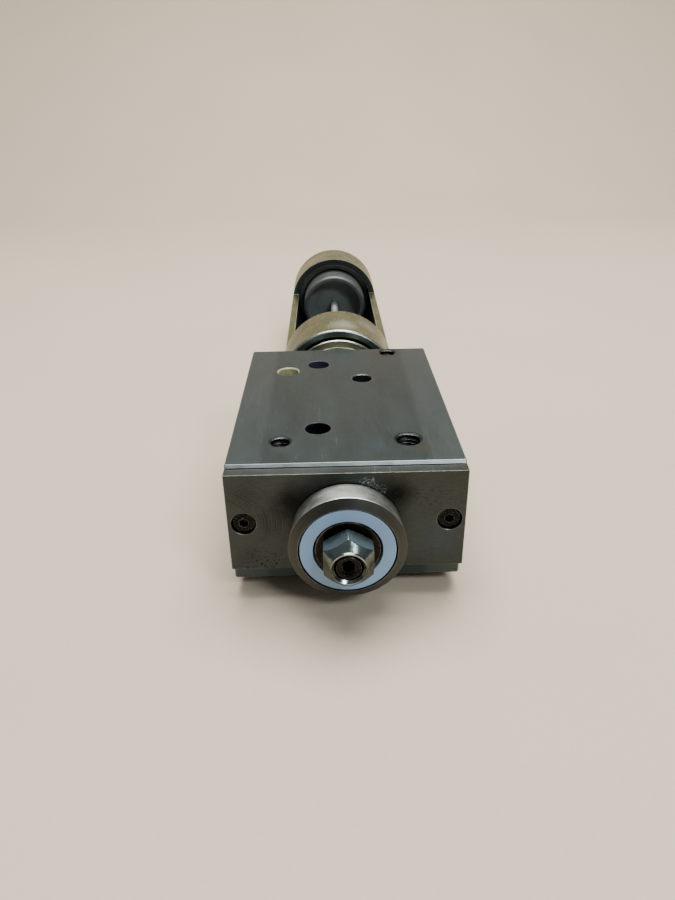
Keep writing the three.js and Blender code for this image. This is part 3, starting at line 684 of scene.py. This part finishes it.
def makeBlock(spec):
    low, high = valveBox("valve_body")
    top, back = high.z, high.y
    blank = slab(low, high)
    soften(blank, spec["chamfer"], segments=1,
           keep=lambda e: abs(e.verts[0].co.x - e.verts[1].co.x) > spec["longEdge"] * mm)
    soften(blank, spec["sideChamfer"], segments=1, sharp=50)
    soften(blank, spec["edge"], segments=2)
    # the spool's bore, wider at both ends
    before, behind = -spec["past"], back + spec["past"]
    cutters = [roundBar(spec["boreR"], before, behind),
               roundBar(spec["collarBoreR"], before, span("front_collar")[1] + gap),
               roundBar(spec["neckBoreR"], span("rear_neck")[0] - gap, behind)]
    # three ports, each down to its own chamber round the spool
    openings = {box["name"]: box["box_m"] for box in frame["record"]["physics"]["openings"]}
    ports = []
    for name, r in spec["portR"].items():
        middle = (Vector(openings[name][0]) + Vector(openings[name][1])) / 2 - valveOrigin
        ports.append((middle.x / mm, middle.y / mm, r))
    ports.append((spec["portP"][0], back - spec["portP"][1], spec["portP"][2]))
    half = spec["chamberWidth"] / 2
    for (x, y, r), mouth in zip(ports, spec["portMouths"]):
        cutters.append(verticalHole(x, y, r, spec["portFloor"], top, mouth))
        cutters.append(roundBar(spec["chamberR"], y - half, y + half))
    # three tapped holes and a plain one near the corners
    holeX = high.x - spec["inset"]
    frontY, rearY, cornerY = spec["frontY"], back - spec["rearSetback"], back - spec["cornerSetback"]
    under = low.z - spec["below"]
    for x, y, floor, tap in ((-holeX, frontY, top - spec["frontTapDepth"], "smallTap"),
                             (holeX, cornerY, top - spec["cornerTapDepth"], "smallTap"),
                             (holeX, frontY, under, "largeTap")):
        cutters.append(tappedHole(x, y, floor, top, spec[tap], spec))
    cutters.append(verticalHole(-holeX, rearY, spec["throughR"], under, top, spec["throughMouth"]))
    screwX, screwZ = plateScrewSpot()
    screwEnd = span("end_plate_screw_left")[1] + gap
    for side in (-1, 1):
        cutters.append(roundBar(spec["screwHoleR"], -spec["below"], screwEnd, steps=48,
                                spot=(side * screwX, 0, screwZ)))
    bm = carve(blank, cutters)
    # walls of the holes and the end chamfers take their own finish, by its place in the piece's list; the end
    # chamfers and port P's wall are painted brighter than the ground steel, as painted highlight and painted
    # light
    finish = {"portA": 1, "portP": 2, "through": 3, "thread": 4, "portT": 5, "chamfer": 6}
    reach = spec["wallReach"]
    walls = [(ports[2][0], ports[2][1], reach["portP"], finish["portP"]),
             (-holeX, rearY, reach["through"], finish["through"]),
             (-holeX, frontY, reach["smallTap"], finish["thread"]),
             (holeX, frontY, reach["largeTap"], finish["thread"]),
             (holeX, cornerY, reach["smallTap"], finish["thread"])]
    for (x, y, r), index in zip(ports, (finish["portA"], finish["portT"])):
        walls.append((x, y, r + spec["wallMargin"], index))
    for face in bm.faces:
        middle = middleOf(face)
        if abs(face.normal.z) > 0.9 and middle.z > top - spec["skin"]:
            continue
        if abs(face.normal.y) > 0.5 and abs(face.normal.z) > 0.5 and middle.z > top - spec["chamfer"]:
            face.material_index = finish["chamfer"]
        for x, y, r, index in walls:
            if math.hypot(middle.x - x, middle.y - y) < r and middle.z > low.z + spec["skin"]:
                face.material_index = index
    return bm


piece("ported_block", makeBlock(blockSpec), "housing", "valve_body", "ground_steel",
      groundSteel, portDark, borePaintedLight, boreCream, boreThread, portPurple, chamferPaintedHighlight)

# ---- end plate and its screws

print("end plate")

plateSpec = {"edge": 0.15, "hole": 10.0, "counterboreR": 2.6, "counterboreEdge": 0.1, "clearanceR": 1.55,
             "headHeight": 1.6, "past": 2}


def makePlate(spec):
    low, high = valveBox("end_plate")
    screwX, screwZ = plateScrewSpot()
    seat = span("end_plate_screw_left")[0] + spec["headHeight"] + gap
    r, lip, back = spec["counterboreR"], spec["counterboreEdge"], spec["past"]
    blank = soften(slab(low, high), spec["edge"], segments=2)
    cutters = [roundBar(spec["hole"], low.y - spec["past"], back)]
    for side in (-1, 1):
        cutters.append(turn([(0, low.y - 1), (r + lip + 1, low.y - 1), (r + lip, low.y), (r, low.y + lip),
                             (r, seat), (spec["clearanceR"], seat), (spec["clearanceR"], back), (0, back)],
                            steps=64, spot=(side * screwX, 0, screwZ)))
    return carve(blank, cutters)


piece("milled_plate", makePlate(plateSpec), "housing", "end_plate", "dark_steel", darkSteel)

screwSpec = {"headR": 2.3, "headHeight": 1.6, "shankR": 1.25, "flats": 1.9, "socket": 1.1, "pitch": 0.45,
             "threadDepth": 0.16, "plainLength": 1.0, "tipR": 0.4, "tipLength": 0.5, "edge": 0.12}


def makePlateScrew(node, spec):
    low, high = valveBox(node)
    x, z = (low.x + high.x) / 2, (low.z + high.z) / 2
    seat, r, plain = low.y + spec["headHeight"], spec["shankR"], spec["plainLength"]
    outline = [(0, low.y), (spec["headR"], low.y), (spec["headR"], seat), (r, seat)]
    outline += threadTurns(seat + plain, high.y - plain, spec["pitch"],
                           [(r, 0), (r - spec["threadDepth"], spec["pitch"] / 2)])
    outline += [(r, high.y - spec["tipLength"]), (r - spec["tipR"], high.y), (0, high.y)]
    head = turn(outline, steps=48, spot=(x, 0, z))
    soften(head, spec["edge"], keep=ringAt(low.y))
    return carve(head, [prism(spec["flats"], low.y - 1, low.y + spec["socket"], spot=(x, z))])


for side in ("left", "right"):
    node = "end_plate_screw_" + side
    piece("plate_screw_" + side, makePlateScrew(node, screwSpec), "housing", node, "black_steel", screwBlack)

# ---- collar, ring, tappet, nut and adjusting screw

print("tappet end")

collarSpec = {"rootR": 11.6, "nose": 1.1, "lipEdge": 0.22, "pocketR": 10.1, "boreR": 7.1,
              "pocketDepth": 6.0, "sealRoom": 0.15, "spigotR": 9.7, "edge": 0.1, "noseFacing": -0.75}


def makeCollar(spec):
    face, back, r = span("front_collar")
    sealFront, sealBack, sealR = span("collar_oring")
    liningFront, liningBack, liningR = span("tappet_seal")
    room, bore, spigot = spec["sealRoom"], spec["boreR"], spec["spigotR"]
    grooveR = sealR - (sealBack - sealFront) - room
    shoulder = valveBox("end_plate")[0].y - gap
    pocket, pocketEnd = spec["pocketR"], face + spec["pocketDepth"]
    bm = turn([(pocket, face), (r, face + spec["nose"]), (spec["rootR"], shoulder), (spigot, shoulder),
               (spigot, sealFront - room), (grooveR, sealFront - room), (grooveR, sealBack + room),
               (spigot, sealBack + room), (spigot, back), (bore, back), (bore, liningBack + room),
               (liningR + room, liningBack + room), (liningR + room, liningFront - room),
               (bore, liningFront - room), (bore, pocketEnd), (pocket, pocketEnd)], steps=160)
    soften(bm, spec["lipEdge"], segments=4, keep=ringAt(face + spec["nose"]))
    soften(bm, spec["edge"], segments=2, sharp=40)
    # the front face takes a darker copy of the steel: painted shade
    faceEnd = face + spec["nose"]
    finishWhere(bm, 1, lambda normal, middle: normal.y < spec["noseFacing"] and middle.y < faceEnd)
    return bm


piece("turned_collar", makeCollar(collarSpec), "housing", "front_collar", "turned_steel",
      turnedSteel, collarFacePaintedShade)

ringSpec = {"boreR": 7.1, "edge": 0.15}


def makeRing(spec):
    front, back, r = span("guide_ring")
    return turn([(spec["boreR"], front), (r, front), (r, back), (spec["boreR"], back)], steps=160,
                edge=spec["edge"])


piece("nylon_ring", makeRing(ringSpec), "housing", "guide_ring", "pale_nylon", paleNylon)

tappetSpec = {"holeR": 3.2, "holeDepth": 13.0, "drillTip": 1.5, "edge": 0.25}


def makeTappetPiston(spec):
    front, back, r = span("tappet_piston")
    bm = soften(roundBar(r, front, back), spec["edge"], segments=3)
    floor = front + spec["holeDepth"]
    return carve(bm, [turn([(0, front - 1), (spec["holeR"], front - 1), (spec["holeR"], floor),
                            (0, floor + spec["drillTip"])], steps=64)])


piece("tappet", makeTappetPiston(tappetSpec), "spool_train", "tappet_piston", "turned_steel", tappetSteel)

nutSpec = {"flats": 10.0, "boreR": 2.95, "lipR": 3.75, "lipHeight": 0.4, "coneSlope": 0.9,
           "countersinkR": 3.45, "backR": 4.8, "backChamfer": 0.5, "edge": 0.1, "pitch": 1.0,
           "threadDepth": 0.45, "threadStart": 0.2, "crownMargin": 0.3, "flatMargin": 0.1}


def makeNut(spec):
    front, back, _ = span("lock_nut")
    boreR, sinkR, pitch = spec["boreR"], spec["countersinkR"], spec["pitch"]
    wide = spec["flats"] / math.sqrt(3) + spec["crownMargin"]
    coneFront = front + spec["lipHeight"]
    crown = turn([(0, front), (spec["lipR"], front), (spec["lipR"], coneFront),
                  (wide, coneFront + (wide - spec["lipR"]) * spec["coneSlope"]),
                  (wide, back - spec["backChamfer"]), (spec["backR"], back), (0, back)], steps=128)
    bm = carve(prism(spec["flats"], front - 1, back + 1), [crown], "INTERSECT")
    soften(bm, spec["edge"], segments=2, sharp=26)
    lead = sinkR - boreR
    outline = [(0, front - 1), (sinkR + 1, front - 1), (sinkR, front), (boreR, front + lead)]
    outline += threadTurns(front + lead + spec["threadStart"], back - pitch - lead, pitch,
                           [(boreR, 0), (boreR + spec["threadDepth"], pitch / 2)])
    outline += [(boreR, back - lead), (sinkR, back), (sinkR, back + 1), (0, back + 1)]
    bm = carve(bm, [turn(outline, steps=64)])
    # the six flats are duller than the crown
    outside = spec["backR"] - spec["flatMargin"]
    finishWhere(bm, 1, lambda normal, middle: abs(normal.y) < 0.2 and fromAxis(middle) > outside)
    return bm


piece("hexagon_nut", makeNut(nutSpec), "lock_nut", "lock_nut", "zinc", zincPlate, zincFlats)

adjusterSpec = {"pitch": 1.0, "threadDepth": 0.5, "threadStart": 0.15, "crest": 0.12, "tail": 0.8,
                "flats": 2.5, "socket": 3.0, "lead": 0.4, "funnelR": 2.15, "funnelDepth": 0.55}


def makeAdjuster(spec):
    front, back, r = span("adjusting_screw")
    lead, tail, pitch, inner = spec["lead"], spec["tail"], spec["pitch"], spec["flats"] / 2
    outline = [(0, front), (r - lead, front), (r, front + lead)]
    outline += threadTurns(front + lead + spec["threadStart"], back - pitch - tail, pitch,
                           [(r, 0), (r, spec["crest"]), (r - spec["threadDepth"], pitch / 2)])
    outline += [(r, back - tail), (r - tail, back), (0, back)]
    bm = turn(outline, steps=64)
    slope = (spec["funnelR"] - inner) / spec["funnelDepth"]
    floor = front + spec["funnelDepth"]
    funnel = turn([(0, front - 1), (spec["funnelR"] + slope, front - 1), (inner, floor), (0, floor)],
                  steps=64)
    return carve(bm, [prism(spec["flats"], front - 1, front + spec["socket"]), funnel])


piece("socket_screw", makeAdjuster(adjusterSpec), "adjusting_screw", "adjusting_screw", "black_steel",
      screwBlack)

# ---- rear neck and guard tube

print("guard tube")

neckSpec = {"edge": 0.1, "relief": 0.25, "reliefEnd": 1.0, "sealRoom": 0.15, "pocketR": 7.6,
            "pocketBehindClip": 4.6, "boreR": 4.3, "recessR": 9.0, "spigotR": 11.7, "bareFrom": 1,
            "bareMargin": 0.1}


def makeNeck(spec):
    front, back, r = span("rear_neck")
    retainer = span("seal_retainer")[0] - gap
    pocketEnd = span("stop_circlip")[1] + spec["pocketBehindClip"]
    seat = valveBox("valve_body")[1].y + gap
    sealFront, sealBack, sealR = span("neck_oring")
    stemFront, _, stemR = span("stem_seal")
    room, bore, spigot, pocket = spec["sealRoom"], spec["boreR"], spec["spigotR"], spec["pocketR"]
    grooveR = sealR - (sealBack - sealFront) - room
    mouth = valveBox("rear_housing")[0].y - spec["reliefEnd"]
    low = r - spec["relief"]
    bm = turn([(pocket, front), (spigot, front), (spigot, sealFront - room), (grooveR, sealFront - room),
               (grooveR, sealBack + room), (spigot, sealBack + room), (spigot, seat), (low, seat),
               (low, mouth), (r, mouth + spec["relief"]), (r, back), (spec["recessR"], back),
               (spec["recessR"], retainer), (stemR + room, retainer), (stemR + room, stemFront - room),
               (bore, stemFront - room), (bore, pocketEnd), (pocket, pocketEnd)],
              steps=128, edge=spec["edge"])
    # the lead-in behind the relief is worn bare and painted bright as a highlight
    bareR, bareY = low - spec["bareMargin"], seat + spec["bareFrom"]
    finishWhere(bm, 1, lambda normal, middle: normal.y < -0.3 and fromAxis(middle) > bareR
                and middle.y > bareY)
    return bm


piece("threaded_neck", makeNeck(neckSpec), "housing", "rear_neck", "yellow_zinc", neckZinc, bareRimAndHighlight)

tubeSpec = {"wall": 2.5, "outerChamfer": 0.45, "innerChamfer": 0.5, "windowStart": 20.0,
            "windowLength": 76.0, "windowFloor": 3.4, "past": 2, "edge": 0.18, "grooveDepth": 0.8,
            "sectors": 12, "rimMargin": 0.1, "boreMargin": 0.05}


def makeTube(spec):
    front, back, r = span("rear_housing")
    inner = r - spec["wall"]
    groove = inner + spec["grooveDepth"]
    clipFront, clipBack, _ = span("end_circlip")
    outer, lead = spec["outerChamfer"], spec["innerChamfer"]
    blank = turn([(inner + lead, front), (r - outer, front), (r, front + outer), (r, back - outer),
                  (r - outer, back), (inner + lead, back), (inner, back - lead), (inner, clipBack + gap),
                  (groove, clipBack + gap), (groove, clipFront - gap), (inner, clipFront - gap),
                  (inner, front + lead)], steps=192)
    start = front + spec["windowStart"]
    wide = r + spec["past"]
    bm = carve(blank, [slab((-wide, start, spec["windowFloor"]), (wide, start + spec["windowLength"], wide))])
    soften(bm, spec["edge"], segments=2, sharp=32)
    # the crescents at the window's ends are split into sectors
    for i in range(1, spec["sectors"]):
        turned = math.pi * i / spec["sectors"]
        cuts = [f for f in bm.faces if abs(f.normal.y) > 0.99 and len(f.verts) > 6]
        around = {part for face in cuts for part in (*face.verts, *face.edges, face)}
        bmesh.ops.bisect_plane(bm, geom=list(around), dist=1e-7, plane_co=valveOrigin,
                               plane_no=(math.sin(turned), 0, -math.cos(turned)))
    # the bore is a darker bluish steel, the faces cut square are barer and darkened with painted shade at the
    # window's rear end, and the front rim is bright: worn bare, with a painted highlight
    boreR, rimR, rimY = inner + spec["boreMargin"], r - outer - spec["rimMargin"], front + outer
    finishWhere(bm, 1, lambda normal, middle: fromAxis(middle) < boreR)
    finishWhere(bm, 2, lambda normal, middle: abs(normal.y) > 0.9)
    finishWhere(bm, 3, lambda normal, middle: normal.y < -0.3 and fromAxis(middle) > rimR and middle.y < rimY)
    return bm


piece("guard_tube", makeTube(tubeSpec), "housing", "rear_housing", "yellow_zinc",
      yellowZinc, darkBore, cutFace, bareRimAndHighlight)

rodFront, rodBack, rodR = span("push_rod")
rodSpec = {"edge": 0.2}
piece("bright_rod", roundBar(rodR, rodFront, rodBack, steps=48, edge=rodSpec["edge"]), "spool_train",
      "push_rod", "bright_steel", brightSteel)

plungerSpec = {"chamfer": 0.7, "cupR": 11.0, "cupDepth": 6.0, "pocketR": 8.3, "pocketDepth": 8.0,
               "cone": 0.1, "rodHoleR": 1.6, "rodHoleDepth": 3.2, "edge": 0.25, "cupMargin": 0.05}


def makePlunger(spec):
    front, back, r = span("plunger")
    floor = front + spec["cupDepth"]
    pocket = back - spec["pocketDepth"]
    bm = turn([(0, floor), (spec["cupR"], floor), (spec["cupR"], front), (r - spec["chamfer"], front),
               (r, front + spec["chamfer"]), (r, back), (spec["pocketR"], back),
               (spec["pocketR"], pocket + spec["cone"]), (0, pocket)], steps=128)
    soften(bm, spec["edge"], segments=3)
    bm = carve(bm, [roundBar(spec["rodHoleR"], floor - 1, floor + spec["rodHoleDepth"], steps=48)])
    # the recess is painted a paler grey than the barrel: painted light in its shade
    cupR, cupEnd = spec["cupR"] + spec["cupMargin"], floor + spec["cupMargin"]
    finishWhere(bm, 1, lambda normal, middle: fromAxis(middle) < cupR and middle.y < cupEnd)
    return bm


piece("black_plunger", makePlunger(plungerSpec), "spool_train", "plunger", "black_steel",
      blackSteel, cupPaintedLight)

guideSpec = {"boreR": 13.3, "floor": 2.5, "ventR": 2.0, "edge": 0.3}


def makeGuide(spec):
    front, back, r = span("end_guide")
    floor = back - spec["floor"]
    vent, bore = spec["ventR"], spec["boreR"]
    return turn([(vent, floor), (bore, floor), (bore, front), (r, front), (r, back), (vent, back)],
                steps=128, edge=spec["edge"])


piece("plunger_guide", makeGuide(guideSpec), "housing", "end_guide", "black_steel", blackSteel)

# ---- the hidden pieces keep their CAD shape

print("inner pieces")

innerFinish = {"spool": brightSteel, "stop_washer": turnedSteel, "stop_circlip": blackSteel,
               "collar_oring": blackRubber, "tappet_seal": blackRubber, "neck_oring": blackRubber,
               "stem_seal": blackRubber, "seal_retainer": turnedSteel, "end_circlip": blackSteel,
               "return_spring": brightSteel, "rod_jam_nut": zincPlate}
for node, finish in innerFinish.items():
    shown = frame["nodes"][node]
    if not shown.material_slots:
        shown.data.materials.append(finish)
    for holder in shown.material_slots:
        holder.material = finish

# ---- floor, light and camera

print("studio")

floorSpec = {"colour": (0.615, 0.515, 0.395), "rough": 0.75, "fibreScale": 900.0, "fibreTint": 0.2,
             "fibreShade": 0.8, "cloudScale": 12.0, "cloudTint": 0.35, "cloudShade": 0.86,
             "sweepStart": 0.4, "sweepRadius": 0.2, "sweepSteps": 12, "wallHeight": 0.36,
             "halfWidth": 1.6, "front": -1.4}


def makeFloor(spec):
    bm = bmesh.new()
    outline = [(spec["front"], 0.0)]
    for i in range(spec["sweepSteps"] + 1):
        angle = i / spec["sweepSteps"] * math.pi / 2
        outline.append((spec["sweepStart"] + spec["sweepRadius"] * math.sin(angle),
                        spec["sweepRadius"] * (1 - math.cos(angle))))
    outline.append((spec["sweepStart"] + spec["sweepRadius"], spec["wallHeight"]))
    verts = [bm.verts.new((-spec["halfWidth"], y, z)) for y, z in outline]
    edges = [bm.edges.new(pair) for pair in zip(verts, verts[1:])]
    swept = bmesh.ops.extrude_edge_only(bm, edges=edges)["geom"]
    moved = [v for v in swept if isinstance(v, bmesh.types.BMVert)]
    bmesh.ops.translate(bm, vec=(2 * spec["halfWidth"], 0, 0), verts=moved)
    bmesh.ops.recalc_face_normals(bm, faces=bm.faces[:])
    floor = asObject("floor", bm)
    for polygon in floor.data.polygons:
        polygon.use_smooth = True
    material, tree, shader, coords = startMaterial("paleFloor")
    fibres = ramp(tree, noise(tree, coords, spec["fibreScale"], 4.0, 0.7), 0.35, 0.65, 0.0, spec["fibreTint"])
    cloud = ramp(tree, noise(tree, coords, spec["cloudScale"], 3.0, 0.5), 0.3, 0.7, 0.0, spec["cloudTint"])
    tone = blendColour(tree, cloud, rgb(spec["colour"]), shade(spec["colour"], spec["cloudShade"]))
    tone = blendColour(tree, fibres, tone, shade(spec["colour"], spec["fibreShade"]))
    tree.links.new(tone, shader.inputs["Base Color"])
    shader.inputs["Roughness"].default_value = spec["rough"]
    floor.data.materials.append(material)


makeFloor(floorSpec)

# metres, watts
lampSpecs = {
    "overhead": {"place": (0.03, 0.1, 0.75), "target": (0, 0.02, 0), "size": (0.6, 0.65), "power": 14.0,
                 "colour": (1.0, 0.98, 0.95)},
    "frontWindow": {"place": (0.36, -0.6, 0.62), "target": (0, -0.08, 0.02), "size": (0.2, 0.16),
                    "power": 3.5, "colour": (0.86, 0.94, 1.0)}}


def softLight(name, spec):
    light = bpy.data.lights.new(name, "AREA")
    light.shape = "RECTANGLE"
    light.size, light.size_y = spec["size"]
    light.energy = spec["power"]
    light.color = spec["colour"]
    lamp = bpy.data.objects.new(name, light)
    lamp.location = spec["place"]
    aim = Vector(spec["target"]) - Vector(spec["place"])
    lamp.rotation_euler = aim.to_track_quat("-Z", "Y").to_euler()
    bpy.context.scene.collection.objects.link(lamp)


for name, spec in lampSpecs.items():
    softLight(name, spec)

airSpec = {"colour": (0.83, 0.86, 0.9), "strength": 0.2}
world = bpy.data.worlds.new("studioAir")
world.use_nodes = True
feed(world.node_tree, world.node_tree.nodes["Background"],
     {"Color": rgb(airSpec["colour"]), "Strength": airSpec["strength"]})
bpy.context.scene.world = world

# lens of 27 mm, a hand's height over the table in front of the tappet
cameraSpec = {"x": -3.0, "y": -121.7, "z": 67.85, "pitch": 28.0, "yaw": 0.644, "roll": 1.042,
              "lens": 27.23, "sensor": 36.0, "clipStart": 0.005}


def makeCamera(spec):
    data = bpy.data.cameras.new("camera")
    data.lens = spec["lens"]
    data.sensor_width = spec["sensor"]
    data.clip_start = spec["clipStart"]
    camera = bpy.data.objects.new("camera", data)
    top = valveBox("valve_body")[1].z
    turned = (Matrix.Rotation(math.radians(-spec["yaw"]), 4, "Z")
              @ Matrix.Rotation(math.radians(90 - spec["pitch"]), 4, "X")
              @ Matrix.Rotation(math.radians(-spec["roll"]), 4, "Z"))
    camera.matrix_world = Matrix.Translation(at(spec["x"], spec["y"], spec["z"] + top)) @ turned
    bpy.context.scene.collection.objects.link(camera)
    bpy.context.scene.camera = camera


makeCamera(cameraSpec)
